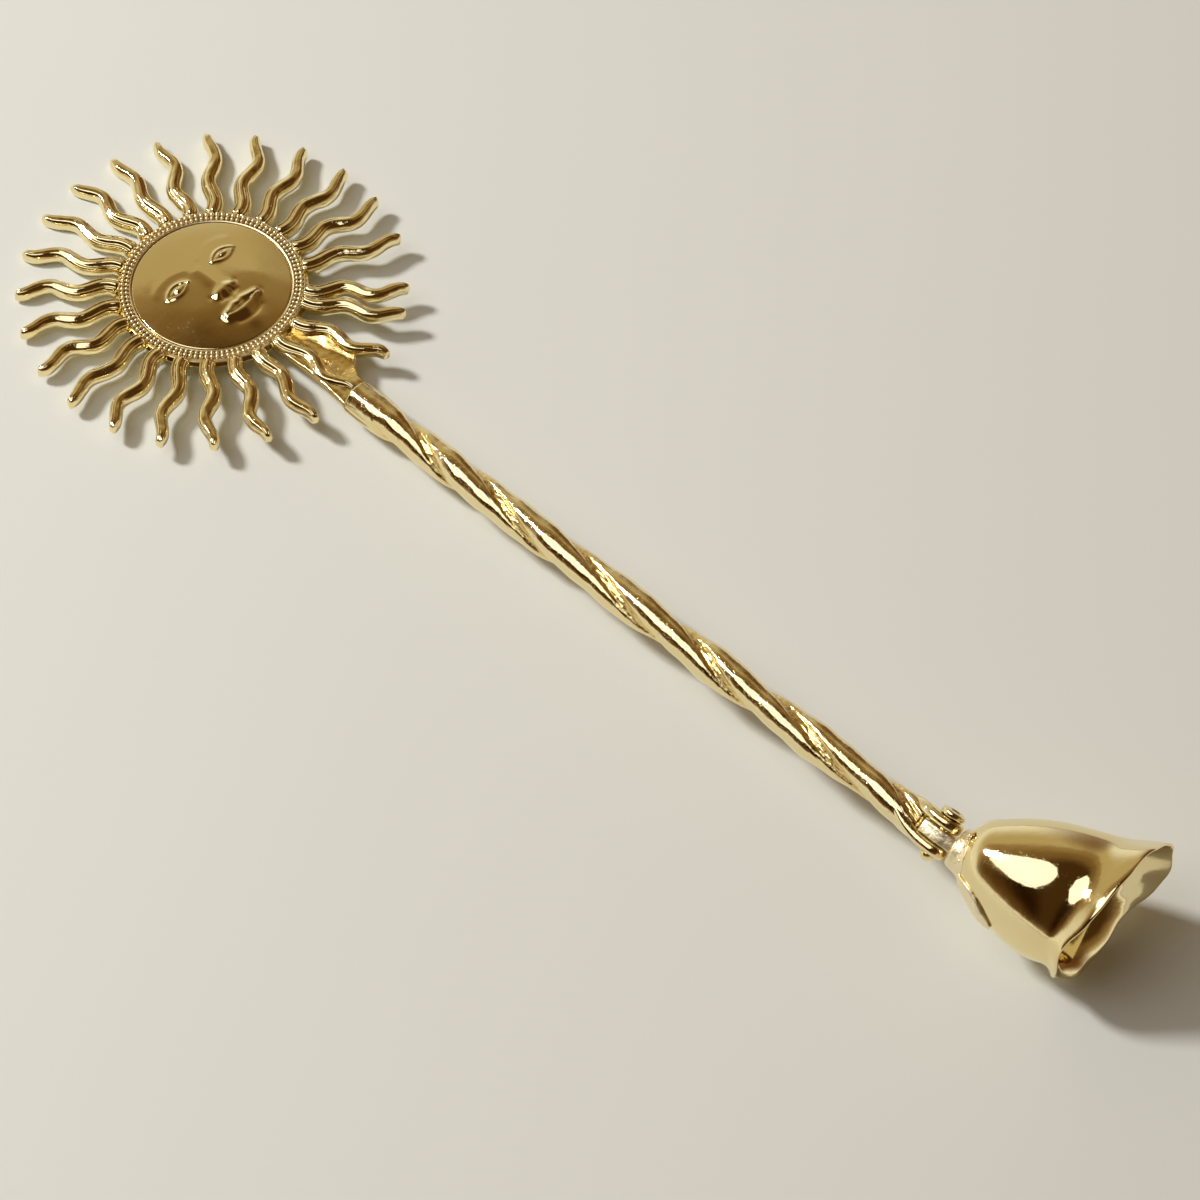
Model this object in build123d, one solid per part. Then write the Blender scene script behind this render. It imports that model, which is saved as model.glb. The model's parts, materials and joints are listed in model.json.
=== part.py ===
"""Candle snuffer: a sun with a face, a twisted handle and a hinged bell.

Every piece is drawn in the handle's own frame: +X along the handle from the
sun to the bell, +Z out of the face, the origin on the handle's axis under the
sun's centre. At the end the whole is leaned so that it rests on the far ray
tips and the bell's rim, with the origin at the bottom centre of its box.
Lengths in mm, angles in degrees.
"""
import os
from math import atan2, cos, degrees, pi, radians, sin, sqrt

from build123d import *

# Sun
RAY_COUNT = 24
RAY_TIP_R = 35.3
RAY_ROOT_W = 3.0
RAY_TIP_W = 1.7
RAY_POINT_W = 0.8
RAY_WALL_H = 1.7
RAY_CREST_H = 2.6
RAY_WAVE = 0.85
RAY_WAVE_LEN = 10.3
RAY_WAVE_START = 2.0
RAY_STATIONS = 12
SUN_DROP = 1.0
HUB_THICK = 1.8
HUB_RIM = 0.6
TONGUE_ROOT_W = 4.0
TONGUE_THICK = 1.5
WEB_REACH = 0.82

# Beaded bezel and face
BEZEL_R = 16.6
BEZEL_BAND = 2.1
BEZEL_H = 0.9
BEZEL_GAP = 0.2
BEAD_R = 0.45
BEAD_EDGE = 0.55
FACE_GAP = 0.2
FACE_EDGE_H = 0.8
FACE_DOME = 1.5
EYE_X = -3.0
EYE_Y = 5.7
EYE_LONG = 2.9
EYE_SHORT = 1.5
PUPIL_R = 0.75
NOSE_X = 2.9
NOSE_LONG = 2.6
NOSE_WIDE = 1.5
LIP_X = 7.6
LIP_LONG = 4.4
LIP_WIDE = 1.0
RELIEF = 0.7

# Handle
TONGUE_END = 36.4
PIN_X = 171.8
STRAND_R = 2.5
STRAND_OFFSET = 0.9
TWIST_PITCH = 44.8
YOKE_LONG = 12.0
YOKE_BACK_W = 5.4

# Hinge
PIN_ROLL = 36.0
PIN_R = 1.0
PIN_CLEAR = 0.03
KNUCKLE_T = 2.4
KNUCKLE_CLEAR = 0.1
EAR_T = 2.4
EAR_R = 2.9
SLOT_DEPTH = 3.2
HEAD_R = 2.2
HEAD_T = 0.9
DOME_R = 1.5
HEAD_CLEAR = 0.05
HEEL_GAP = 0.12
KNUCKLE_INSET = 0.3

# Bell, measured from the pin along the mouth's direction
BELL_DROOP = 13.0
NECK_AT = 3.6
NECK_R = 3.0
SEAT_AT = 6.0
SEAT_R = 4.6
CUP_TOP_R = 5.4
SHOULDER_AT = 9.6
SHOULDER_R = 7.9
BODY_ALONG = 0.36
BODY_SHARE = 0.41
WAIST_ALONG = 0.65
WAIST_SHARE = 0.59
LIP_ALONG = 0.83
LIP_SHARE = 0.81
MOUTH_AT = 31.1
MOUTH_R = 13.3
MOUTH_SHIFT = 5.2
SHOULDER_TILT = 17.5
MOUTH_TILT = -7.3
WALL = 1.1

SUN_TOP = HUB_THICK - SUN_DROP
EAR_OUT = KNUCKLE_T / 2 + KNUCKLE_CLEAR + EAR_T


def ray_wave(run):
    """Sideways swing of a ray at a distance out from the bezel, and its heading."""
    phase = 2 * pi * (run - RAY_WAVE_START) / RAY_WAVE_LEN
    swing = -RAY_WAVE * cos(phase)
    slope = RAY_WAVE * 2 * pi / RAY_WAVE_LEN * sin(phase)
    return swing, degrees(atan2(slope, 1))


def ray_section(run, width):
    """Flat-backed round-topped section of a ray, standing across its path."""
    swing, heading = ray_wave(run)
    half = width / 2
    wall = RAY_WALL_H * min(1, width / RAY_TIP_W)
    crest = RAY_CREST_H * min(1, width / RAY_TIP_W)
    outline = make_face([
        Line((-half, 0), (half, 0)),
        Line((half, 0), (half, wall)),
        ThreePointArc((half, wall), (0, crest), (-half, wall)),
        Line((-half, wall), (-half, 0)),
    ])
    across = Plane(
        origin=(BEZEL_R + run, swing, -SUN_DROP),
        x_dir=(-sin(radians(heading)), cos(radians(heading)), 0),
        z_dir=(cos(radians(heading)), sin(radians(heading)), 0),
    )
    return across * outline


def ray():
    """One wavy ray along +X, from the hub's edge to its rounded point."""
    start = HUB_RIM / 3
    length = RAY_TIP_R - BEZEL_R
    sections = []
    for k in range(RAY_STATIONS):
        part = k / (RAY_STATIONS - 1)
        run = start + (length - RAY_POINT_W - start) * part
        width = RAY_ROOT_W + (RAY_TIP_W - RAY_ROOT_W) * part
        sections.append(ray_section(run, width))
    sections.append(ray_section(length, RAY_POINT_W))
    return loft(sections)


def sun_rays():
    """Hub disc with the rays, and the tongue to the handle with a web to the next ray."""
    hub = Pos(Z=-SUN_DROP) * Cylinder(BEZEL_R + HUB_RIM, HUB_THICK, align=(Align.CENTER, Align.CENTER, Align.MIN))
    end_w = 2 * STRAND_R + STRAND_OFFSET
    beside = radians(360 / RAY_COUNT)
    web_r = WEB_REACH * RAY_TIP_R
    plan = make_face(Polyline(
        (0, -TONGUE_ROOT_W / 2),
        (TONGUE_END, -end_w / 2),
        (TONGUE_END, end_w / 2),
        (web_r * cos(beside), web_r * sin(beside)),
        (0, 0),
        close=True,
    ))
    tongue = Pos(Z=-SUN_DROP) * extrude(plan, TONGUE_THICK)
    seat = Pos(Z=SUN_TOP) * Cylinder(BEZEL_R + BEZEL_GAP, RAY_CREST_H, align=(Align.CENTER, Align.CENTER, Align.MIN))
    one = ray()
    rays = [Rot(Z=360 * k / RAY_COUNT) * one for k in range(RAY_COUNT)]
    return hub + tongue + rays - seat


def bead_bezel():
    """Ring around the face with two bead rows as half-round mouldings."""
    inner = BEZEL_R - BEZEL_BAND
    ring = Cylinder(BEZEL_R, BEZEL_H, align=(Align.CENTER, Align.CENTER, Align.MIN))
    ring -= Cylinder(inner, 3 * BEZEL_H)
    outer_row = Pos(Z=BEZEL_H) * Torus(BEZEL_R - BEAD_EDGE, BEAD_R)
    inner_row = Pos(Z=BEZEL_H) * Torus(inner + BEAD_EDGE, BEAD_R)
    return Pos(Z=SUN_TOP) * (ring + outer_row + inner_row)


def face_radius():
    return BEZEL_R - BEZEL_BAND - FACE_GAP


def dome_radius():
    """Radius of the ball whose cap is the face's dome."""
    return (face_radius() ** 2 + FACE_DOME ** 2) / (2 * FACE_DOME)


def dome_height(x, y):
    """Height of the face above its seat."""
    ball = dome_radius()
    return FACE_EDGE_H + FACE_DOME - ball + sqrt(ball ** 2 - x ** 2 - y ** 2)


def relief(x, y, long_x, long_y, height):
    """A smooth oval swelling standing on the dome."""
    return Pos(x, y, dome_height(x, y)) * scale(Sphere(1), by=(long_x, long_y, height))


def face_disc():
    """Domed disc with two eyes, a nose and a mouth, the chin toward the handle."""
    ball = dome_radius()
    disc = Cylinder(face_radius(), FACE_EDGE_H + FACE_DOME, align=(Align.CENTER, Align.CENTER, Align.MIN))
    disc &= Pos(Z=FACE_EDGE_H + FACE_DOME - ball) * Sphere(ball)
    for side in (-1, 1):
        disc += relief(EYE_X, side * EYE_Y, EYE_SHORT, EYE_LONG, RELIEF / 2)
        disc += relief(EYE_X, side * EYE_Y, PUPIL_R, PUPIL_R, RELIEF)
    disc += relief(NOSE_X, 0, NOSE_LONG, NOSE_WIDE, RELIEF)
    for side in (-1, 1):
        disc += relief(LIP_X + side * LIP_WIDE * 0.8, 0, LIP_WIDE, LIP_LONG, RELIEF)
    return Pos(Z=SUN_TOP) * disc


def fork_frame():
    """Frame at the pin: X on along the handle, Y along the pin."""
    return Pos(X=PIN_X) * Rot(X=PIN_ROLL)


def bell_frame():
    """Frame at the pin that swings with the bell: X out of the mouth."""
    return fork_frame() * Rot(Y=BELL_DROOP)


def shank():
    """Two strands twisted right-handed, from the tongue into the yoke."""
    end = PIN_X - SLOT_DEPTH - 1
    length = end - TONGUE_END
    strands = Pos(X=STRAND_OFFSET) * Circle(STRAND_R) + Pos(X=-STRAND_OFFSET) * Circle(STRAND_R)
    section = Pos(X=end) * Rot(X=PIN_ROLL) * (Plane.YZ * strands)
    turn = 360 * length / TWIST_PITCH
    return Solid.extrude_linear_with_rotation(section.face(), (end, 0, 0), (-length, 0, 0), turn)


def fork():
    """Yoke that spreads from the shank into two round-ended ears."""
    back = -YOKE_LONG
    plan = make_face(Polyline(
        (back, -YOKE_BACK_W / 2),
        (-2 * SLOT_DEPTH, -EAR_OUT),
        (2 * EAR_R, -EAR_OUT),
        (2 * EAR_R, EAR_OUT),
        (-2 * SLOT_DEPTH, EAR_OUT),
        (back, YOKE_BACK_W / 2),
        close=True,
    ))
    side = Rectangle(YOKE_LONG, 2 * EAR_R, align=(Align.MAX, Align.CENTER)) + Circle(EAR_R)
    wide = extrude(plan, 2 * EAR_R, both=True)
    tall = Rot(X=90) * extrude(side, 2 * EAR_OUT, both=True)
    slot_w = KNUCKLE_T + 2 * KNUCKLE_CLEAR
    slot = Pos(X=-SLOT_DEPTH) * Box(4 * EAR_R, slot_w, 4 * EAR_R, align=(Align.MIN, Align.CENTER, Align.CENTER))
    return fork_frame() * (wide & tall), fork_frame() * slot


def pin_hole():
    return fork_frame() * (Rot(X=90) * Cylinder(PIN_R + PIN_CLEAR, 6 * EAR_OUT))


def handle():
    """Twisted shank with its fork, bored for the pin."""
    yoke, slot = fork()
    return shank() + yoke - slot - pin_hole()


def hinge_pin():
    """Rivet with a ringed flat head on the far side and a small dome on the near side."""
    far = EAR_OUT + HEAD_CLEAR
    up = (Align.CENTER, Align.CENTER, Align.MIN)
    rod = Pos(Z=-far) * Cylinder(PIN_R, 2 * far, align=up)
    head = Pos(Z=far) * Cylinder(HEAD_R, HEAD_T, align=up)
    ring = Pos(Z=far + HEAD_T) * Torus(HEAD_R * 0.62, HEAD_T * 0.3)
    dome = Pos(Z=-far) * (Sphere(DOME_R) & Box(4 * DOME_R, 4 * DOME_R, 2 * DOME_R, align=(Align.CENTER, Align.CENTER, Align.MAX)))
    return fork_frame() * (Rot(X=-90) * (rod + head + ring + dome))


def bell_circle(at, radius, shift, tilt):
    """Circle across the bell, moved and tilted toward the far ear."""
    return Pos(at, shift, 0) * Rot(Z=tilt) * Rot(Y=90) * Circle(radius)


def cup_circle(at, radius):
    """Circle of the cup: the body runs to the far side and the mouth turns back."""
    along = (at - SEAT_AT) / (MOUTH_AT - SEAT_AT)
    turned = max(0, (at - SHOULDER_AT) / (MOUTH_AT - SHOULDER_AT))
    tilt = SHOULDER_TILT + (MOUTH_TILT - SHOULDER_TILT) * turned * abs(turned)
    return bell_circle(at, radius, MOUTH_SHIFT * along, tilt)


def bell_calyx():
    """Knuckle between the ears, with a heel as the stop, and the neck of the bell."""
    reach = NECK_AT + 1
    round_r = EAR_R - KNUCKLE_INSET
    heel = Rectangle(SLOT_DEPTH - HEEL_GAP, round_r, align=(Align.MAX, Align.MIN))
    side = Circle(round_r)
    side += Rectangle(reach, 2 * round_r, align=(Align.MIN, Align.CENTER))
    side += Rot(Z=BELL_DROOP) * heel
    knuckle = Rot(X=90) * extrude(side, KNUCKLE_T / 2, both=True)
    neck = loft([
        bell_circle(NECK_AT, NECK_R, 0, 0),
        bell_circle((NECK_AT + SEAT_AT) / 2, (NECK_R + SEAT_R) / 2 - 0.2, 0, SHOULDER_TILT / 2),
        bell_circle(SEAT_AT, SEAT_R, 0, SHOULDER_TILT),
    ])
    bore = Rot(X=90) * Cylinder(PIN_R + PIN_CLEAR, 4 * KNUCKLE_T)
    return bell_frame() * (knuckle + neck - bore)


def cup_station(along, share, wall=0):
    """Circle of the cup's wall at a share of the way from shoulder to mouth."""
    at = SHOULDER_AT + along * (MOUTH_AT - SHOULDER_AT)
    radius = SHOULDER_R + share * (MOUTH_R - SHOULDER_R)
    return cup_circle(at, radius - wall)


def bell_cup():
    """Flower-shaped cup with a flared mouth, hollow inside."""
    outside = loft([
        cup_circle(SEAT_AT, CUP_TOP_R),
        cup_circle(SEAT_AT + 0.45 * (SHOULDER_AT - SEAT_AT), CUP_TOP_R + 0.7 * (SHOULDER_R - CUP_TOP_R)),
        cup_station(0, 0),
        cup_station(BODY_ALONG, BODY_SHARE),
        cup_station(WAIST_ALONG, WAIST_SHARE),
        cup_station(LIP_ALONG, LIP_SHARE),
        cup_station(1, 1),
    ])
    inside = loft([
        cup_circle(SEAT_AT + 2 * WALL, CUP_TOP_R - WALL),
        cup_circle(SHOULDER_AT + WALL, SHOULDER_R - WALL),
        cup_station(BODY_ALONG, BODY_SHARE, WALL),
        cup_station(WAIST_ALONG, WAIST_SHARE, WALL),
        cup_station(LIP_ALONG, LIP_SHARE, WALL),
        cup_station(1, 1, WALL),
        cup_circle(MOUTH_AT + WALL, MOUTH_R),
    ])
    return bell_frame() * (outside - inside)


def rest_lean(sun, cup):
    """Lean that brings the far ray tips and the bell's rim to one level."""
    lean = 0
    for _ in range(4):
        low_sun = (Rot(Y=-lean) * sun).bounding_box().min.Z
        low_cup = (Rot(Y=-lean) * cup).bounding_box().min.Z
        lean += degrees(atan2(low_sun - low_cup, PIN_X + MOUTH_AT + RAY_TIP_R))
    return lean


def main():
    nodes = {
        "sun_rays": sun_rays(),
        "bead_bezel": bead_bezel(),
        "face_disc": face_disc(),
        "handle": handle(),
        "hinge_pin": hinge_pin(),
        "bell_calyx": bell_calyx(),
        "bell_cup": bell_cup(),
    }
    angle = rest_lean(nodes["sun_rays"], nodes["bell_cup"])
    lean = Rot(Y=-angle)
    box = Compound(children=[lean * shape for shape in nodes.values()]).bounding_box()
    middle = box.center()
    rest = Pos(-middle.X, -middle.Y, -box.min.Z) * lean
    os.makedirs("parts", exist_ok=True)
    for name, shape in nodes.items():
        export_step(rest * shape, f"parts/{name}.step")
    print("size", box.size)
    print("lean", angle, "shift", rest.position)


main()
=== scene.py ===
"""Candle snuffer: a sun face in wavy rays, a twisted handle and a hinged bell, in polished pale gold.

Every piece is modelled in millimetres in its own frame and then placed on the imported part: the
sun and the handle in the handle's frame, the ears and the rivet in the fork's, the bell in the
one that swings with it.
"""
import json
import math

import bmesh
import bpy
from bpy.props import FloatProperty, FloatVectorProperty, IntProperty, PointerProperty
from mathutils import Matrix, Vector, noise


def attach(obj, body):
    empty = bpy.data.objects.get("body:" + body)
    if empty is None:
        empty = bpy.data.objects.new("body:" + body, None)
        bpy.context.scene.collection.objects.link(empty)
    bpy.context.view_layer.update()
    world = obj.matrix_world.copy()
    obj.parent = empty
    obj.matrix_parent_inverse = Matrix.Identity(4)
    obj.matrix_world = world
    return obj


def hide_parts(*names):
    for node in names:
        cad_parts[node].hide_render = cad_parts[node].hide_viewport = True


bl_info = {
    "name": "Sun candle snuffer",
    "version": (1, 0, 0),
    "blender": (4, 5, 0),
    "location": "View3D > Sidebar > Snuffer",
    "description": "Models and dresses a candle snuffer with a sun face",
    "category": "Object",
}

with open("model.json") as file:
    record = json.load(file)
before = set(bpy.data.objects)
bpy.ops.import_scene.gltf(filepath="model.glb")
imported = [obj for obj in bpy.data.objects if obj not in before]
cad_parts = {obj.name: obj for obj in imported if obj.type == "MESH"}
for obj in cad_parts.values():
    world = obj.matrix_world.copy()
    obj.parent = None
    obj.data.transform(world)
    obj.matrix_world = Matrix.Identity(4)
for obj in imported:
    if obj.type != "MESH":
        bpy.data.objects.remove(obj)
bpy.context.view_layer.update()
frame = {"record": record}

MM = 0.001
JOINT = frame["record"]["behaviour"]["joints"][0]
SUN_BACK = frame["record"]["mounts"][0]

# Millimetres in the handle's frame
SUN_DROP = 1.0
SUN_TOP = 0.8
FACE_DROP = 0.6
PIN_X = 171.8
FORK_SETBACK = 3.25
BELL_DROOP = math.radians(13.0)
TURN = 2 * math.pi


def handle_frame():
    """Handle's frame in the part, from millimetres: the sun's centre, X to the bell, Z out of the face."""
    normal = -Vector(SUN_BACK["axis"])
    lean = math.atan2(-normal.x, normal.z)
    centre = Vector(SUN_BACK["pos_m"]) + normal * SUN_DROP * MM
    return Matrix.Translation(centre) @ Matrix.Rotation(-lean, 4, "Y") @ Matrix.Scale(MM, 4)


def fork_frame():
    """Frame at the rivet, with Y along it."""
    handle = handle_frame()
    pin = handle.to_3x3().inverted() @ Vector(JOINT["axis"])
    return handle @ Matrix.Translation((PIN_X, 0, 0)) @ Matrix.Rotation(math.atan2(pin.z, pin.y), 4, "X")


def bell_frame():
    """Frame at the rivet that swings with the bell, with X out of its mouth."""
    return fork_frame() @ Matrix.Rotation(BELL_DROOP, 4, "Y")


class SunSizes(bpy.types.PropertyGroup):
    """Sizes of the sun, its bezel and its face."""

    ray_count: IntProperty(name="Rays", description="Number of rays round the sun", default=24, min=3)
    tip_radius: FloatProperty(
        name="Tip radius", description="Reach of the rays from the centre", default=0.0352, unit="LENGTH")
    ray_width: FloatProperty(
        name="Ray width", description="Width of a ray at its root", default=0.0030, unit="LENGTH")
    ray_height: FloatProperty(
        name="Ray height", description="Height of a ray's crest", default=0.0026, unit="LENGTH")
    ray_wave: FloatProperty(
        name="Ray wave", description="Swing of a ray to each side", default=0.00095, unit="LENGTH")
    wave_length: FloatProperty(
        name="Wave length", description="Length of one wave along a ray", default=0.0103, unit="LENGTH")
    bezel_radius: FloatProperty(
        name="Bezel radius", description="Outer radius of the beaded ring", default=0.0166, unit="LENGTH")
    bead_radius: FloatProperty(
        name="Bead radius", description="Radius of one bead", default=0.00043, unit="LENGTH")
    bead_count: IntProperty(name="Beads", description="Beads in each row", default=104, min=12)
    face_radius: FloatProperty(
        name="Face radius", description="Radius of the domed face", default=0.0143, unit="LENGTH")
    face_dome: FloatProperty(
        name="Face dome", description="Rise of the dome", default=0.0015, unit="LENGTH")


class HandleSizes(bpy.types.PropertyGroup):
    """Sizes of the twisted handle, its fork and the rivet."""

    strand_reach: FloatProperty(
        name="Strand reach", description="Distance of a strand's back from the axis",
        default=0.00335, unit="LENGTH")
    groove_reach: FloatProperty(
        name="Groove reach", description="Distance of the groove from the axis",
        default=0.0021, unit="LENGTH")
    ear_radius: FloatProperty(
        name="Ear radius", description="Round end of an ear", default=0.00285, unit="LENGTH")
    ear_thick: FloatProperty(
        name="Ear thickness", description="Thickness of an ear", default=0.0024, unit="LENGTH")
    knuckle_thick: FloatProperty(
        name="Knuckle thickness", description="Thickness of the knuckle", default=0.0024, unit="LENGTH")


class BellSizes(bpy.types.PropertyGroup):
    """Sizes of the bell."""

    shoulder_radius: FloatProperty(
        name="Shoulder radius", description="Radius at the shoulder", default=0.0079, unit="LENGTH")
    mouth_radius: FloatProperty(
        name="Mouth radius", description="Radius of the lip", default=0.0133, unit="LENGTH")
    mouth_reach: FloatProperty(
        name="Mouth reach", description="Distance of the mouth from the rivet",
        default=0.0311, unit="LENGTH")
    lip_wave: FloatProperty(
        name="Lip wave", description="Depth of the waves in the lip", default=0.0007, unit="LENGTH")
    wall: FloatProperty(
        name="Wall", description="Thickness of the cup's wall", default=0.0011, unit="LENGTH")


class Finishes(bpy.types.PropertyGroup):
    """Colours of the metal and the stage, and the painted shade laid between the beads."""

    gold: FloatVectorProperty(
        name="Gold", description="Polished pale gold", subtype="COLOR", default=(0.95, 0.82, 0.48))
    deep_gold: FloatVectorProperty(
        name="Deep gold", description="Warmer gold in hollows",
        subtype="COLOR", default=(0.90, 0.66, 0.24))
    # Painted shade: a dark gold laid on the floor between the beads, where shade falls.
    bead_gap_shade: FloatVectorProperty(
        name="Dark gold", description="Dull gold between the beads",
        subtype="COLOR", default=(0.30, 0.18, 0.06))
    floor: FloatVectorProperty(
        name="Floor", description="Plain pale floor", subtype="COLOR", default=(0.80, 0.82, 0.785))


def mm(length):
    """A stored length in millimetres."""
    return length / MM


def sizes(group):
    """One group of the scene's sizes or colours."""
    return getattr(bpy.context.scene, group)


# Modelling by hand


def start():
    """Object mode with nothing selected."""
    if bpy.context.object and bpy.context.object.mode != "OBJECT":
        bpy.ops.object.mode_set(mode="OBJECT")
    bpy.ops.object.select_all(action="DESELECT")


def outline(name, points):
    """A new piece that starts as a closed ring of edges through the points."""
    start()
    bpy.ops.mesh.primitive_circle_add(vertices=len(points), radius=1)
    piece = bpy.context.object
    piece.name = name
    for vert, point in zip(piece.data.vertices, points):
        vert.co = point
    bpy.ops.object.mode_set(mode="EDIT")
    bpy.ops.mesh.select_mode(type="VERT")
    bpy.ops.mesh.select_all(action="SELECT")
    return piece


def choose(piece, test):
    """Selects the vertices whose place passes a test."""
    mesh = bmesh.from_edit_mesh(piece.data)
    for vert in mesh.verts:
        vert.select_set(bool(test(vert.co)))
    mesh.select_flush_mode()
    bmesh.update_edit_mesh(piece.data)


def choose_lanes(piece, count, lanes, test):
    """Selects the vertices at some places of a walked ring that pass a test."""
    mesh = bmesh.from_edit_mesh(piece.data)
    mesh.verts.ensure_lookup_table()
    for vert in mesh.verts:
        vert.select_set(vert.index % count in lanes and bool(test(vert.co)))
    mesh.select_flush_mode()
    bmesh.update_edit_mesh(piece.data)


def pull(step):
    """Extrudes the selection by a step."""
    bpy.ops.mesh.extrude_region_move(TRANSFORM_OT_translate={"value": step})


def move(step):
    """Moves the selection."""
    bpy.ops.transform.translate(value=step)


def press(step, reach):
    """Moves the selection and draws what is near along with it."""
    bpy.ops.transform.translate(
        value=step, use_proportional_edit=True, proportional_edit_falloff="SMOOTH", proportional_size=reach)


def turn(angle, axis, centre):
    """Turns the selection; with no window the operator counts the other way."""
    bpy.ops.transform.rotate(value=-angle, orient_axis=axis, center_override=centre)


def swell(scale, centre):
    """Scales the selection about a centre."""
    bpy.ops.transform.resize(value=scale, center_override=centre)


def cap():
    """Closes the selected ring with a face."""
    bpy.ops.mesh.edge_face_add()


def walk(stations, axis):
    """Extrudes the selected ring through (centre, angle, scale) stations, the first being where it is."""
    was, angle, scale = stations[0]
    for centre, now, size in stations[1:]:
        pull(tuple(Vector(centre) - Vector(was)))
        turn(-angle, axis, centre)
        swell(tuple(a / b for a, b in zip(size, scale)), centre)
        turn(now, axis, centre)
        was, angle, scale = centre, now, size


def smooth(piece, levels):
    """Leaves edit mode, points the faces outward and applies subdivision."""
    bpy.ops.mesh.select_all(action="SELECT")
    bpy.ops.mesh.remove_doubles(threshold=1e-4)
    bpy.ops.mesh.normals_make_consistent(inside=False)
    bpy.ops.object.mode_set(mode="OBJECT")
    fine = piece.modifiers.new("fine", "SUBSURF")
    fine.levels = levels
    fine.render_levels = levels
    bpy.ops.object.modifier_apply(modifier=fine.name)
    bpy.ops.object.shade_smooth()


def bevel(piece, width):
    """Applies a rounded bevel to the sharp edges."""
    bpy.ops.object.mode_set(mode="OBJECT")
    soft = piece.modifiers.new("soft", "BEVEL")
    soft.width = width
    soft.segments = 3
    soft.limit_method = "ANGLE"
    soft.angle_limit = math.radians(40)
    bpy.ops.object.modifier_apply(modifier=soft.name)
    bpy.ops.object.shade_smooth_by_angle(angle=math.radians(35))


def lathe(name, profile, steps):
    """A closed turned ring or, with its ends on the axis, a turned solid about Z."""
    piece = outline(name, [(r, 0, z) for r, z in profile])
    bpy.ops.mesh.spin(steps=steps, angle=TURN, center=(0, 0, 0), axis=(0, 0, 1))
    bpy.ops.mesh.select_all(action="SELECT")
    bpy.ops.mesh.remove_doubles(threshold=1e-3)
    bpy.ops.mesh.delete_loose()
    bpy.ops.mesh.select_all(action="SELECT")
    bpy.ops.mesh.normals_make_consistent(inside=False)
    bpy.ops.object.mode_set(mode="OBJECT")
    return piece


def join(pieces, name):
    """Joins finished pieces into the first one."""
    start()
    for piece in pieces:
        piece.select_set(True)
    bpy.context.view_layer.objects.active = pieces[0]
    bpy.ops.object.join()
    pieces[0].name = name
    pieces[0].data.name = name
    return pieces[0]


def place(piece, where):
    """Puts a piece in the part's frame, with its place in its mesh."""
    start()
    piece.select_set(True)
    bpy.context.view_layer.objects.active = piece
    piece.matrix_world = where
    bpy.ops.object.transform_apply(location=True, rotation=True, scale=True)


def dress(piece, body, finish, *nodes):
    """Gives a piece its finish and its body, and hides the nodes it stands for."""
    piece.data.materials.clear()
    piece.data.materials.append(finish)
    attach(piece, body)
    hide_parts(*nodes)


# Finishes


class Wire:
    """A socket with arithmetic."""

    def __init__(self, finish, socket):
        self.finish = finish
        self.socket = socket

    def maths(self, operation, *values):
        return self.finish.node("ShaderNodeMath", {"operation": operation}, *values)

    def __add__(self, other):
        return self.maths("ADD", self, other)

    __radd__ = __add__

    def __sub__(self, other):
        return self.maths("SUBTRACT", self, other)

    def __rsub__(self, other):
        return self.maths("SUBTRACT", other, self)

    def __mul__(self, other):
        return self.maths("MULTIPLY", self, other)

    __rmul__ = __mul__

    def between(self, low, high):
        """0 below low, 1 above high, smooth between."""
        return self.finish.node(
            "ShaderNodeMapRange", {"interpolation_type": "SMOOTHSTEP"}, self, low, high, 0.0, 1.0)


class Finish:
    """The nodes of a material or a world being built."""

    def __init__(self, owner, shader="Principled BSDF"):
        owner.use_nodes = True
        self.owner = owner
        self.tree = owner.node_tree
        self.shader = self.tree.nodes[shader]

    def node(self, kind, settings, *values, out=0, **named):
        """Adds a node: its settings first, then values or wires for its sockets."""
        made = self.tree.nodes.new(kind)
        for key, value in settings.items():
            setattr(made, key, value)
        for socket, value in zip(made.inputs, values):
            self.feed(socket, value)
        for key, value in named.items():
            self.feed(made.inputs[key], value)
        return Wire(self, made.outputs[out])

    def feed(self, socket, value):
        """Links a wire to a socket or sets its value; None leaves it alone."""
        if isinstance(value, Wire):
            self.tree.links.new(value.socket, socket)
        elif value is not None:
            socket.default_value = value

    def place(self):
        """Object coordinates."""
        return self.node("ShaderNodeTexCoord", {}, out=3)

    def noise(self, scale, detail=2.0, roughness=0.5):
        """Even noise over the object, in features per metre."""
        return self.node(
            "ShaderNodeTexNoise", {}, Vector=self.place(), Scale=scale, Detail=detail, Roughness=roughness)

    def attribute(self, name):
        return self.node("ShaderNodeAttribute", {"attribute_name": name}, out=2)

    def blend(self, factor, first, second, way="MIX"):
        """Mixes two colours, or with MULTIPLY tints the first with the second."""
        skip = [None] * 5
        return self.node(
            "ShaderNodeMix", {"data_type": "RGBA", "blend_type": way}, factor, *skip, first, second, out=2)

    def bump(self, height, strength, distance):
        return self.node("ShaderNodeBump", {}, Strength=strength, Distance=distance, Height=height)

    def set(self, name, value):
        """Feeds one socket of the shader."""
        self.feed(self.shader.inputs[name], value)


# Painted highlight: the pale colour that pale lifts the gold toward.
PAINTED_HIGHLIGHT_GOLD = (0.99, 0.93, 0.78)
SKIN_DEPTH = 0.0006


def rgba(colour):
    return (*colour, 1.0)


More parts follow.
